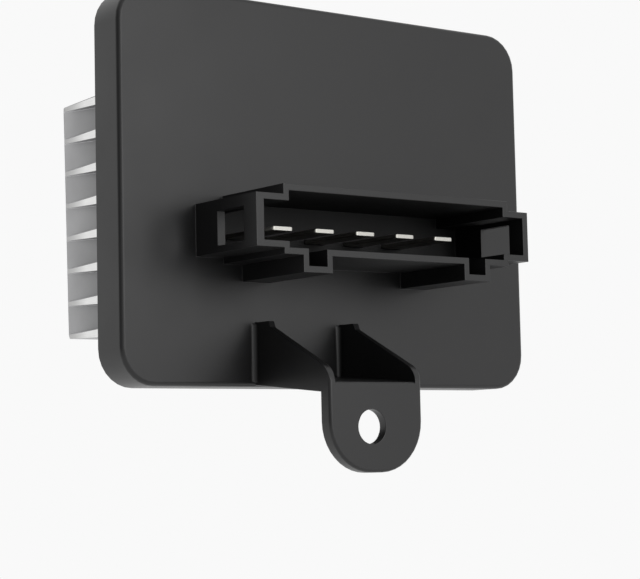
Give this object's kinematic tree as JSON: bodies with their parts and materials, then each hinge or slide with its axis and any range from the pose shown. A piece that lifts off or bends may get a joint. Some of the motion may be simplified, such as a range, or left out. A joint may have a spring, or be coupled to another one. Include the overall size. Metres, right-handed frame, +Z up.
{
  "type": "blower motor resistor",
  "caption": "Blower motor resistor module: black moulded plate with a keyed blade connector, a screw tab and a finned heat sink behind.",
  "frame": {"origin": "middle of the skirt's bottom bar, on its back face", "axes": "+X along the plate's width, +Z up, -Y out of the connector's mouth, +Y towards the heat sink's fins"},
  "size_m": [0.102, 0.0521, 0.0948],
  "materials": {
    "housing_plastic": "fine satin moulded black",
    "terminal": "bright tin plate",
    "board": "green glass-fibre laminate",
    "resistor": "fired white ceramic",
    "thermal_pad": "soft grey silicone",
    "fuse": "drawn metal case",
    "seal": "black flat seal",
    "heat_sink": "as-cast, bright cut fin ends",
    "screw": "zinc plate"
  },
  "bodies": {
    "root": {"housing": "housing_plastic", "terminal_1": "terminal", "terminal_2": "terminal", "terminal_3": "terminal", "terminal_4": "terminal", "terminal_5": "terminal", "circuit_board": "board", "power_resistor_1": "resistor", "power_resistor_2": "resistor", "power_resistor_3": "resistor", "thermal_pad": "thermal_pad", "thermal_fuse": "fuse", "heat_sink_seal": "seal", "heat_sink": "heat_sink", "heat_sink_screw_1": "screw", "heat_sink_screw_2": "screw", "heat_sink_screw_3": "screw", "heat_sink_screw_4": "screw", "board_screw_1": "screw", "board_screw_2": "screw", "board_screw_3": "screw", "board_screw_4": "screw"}
  },
  "joints": []
}
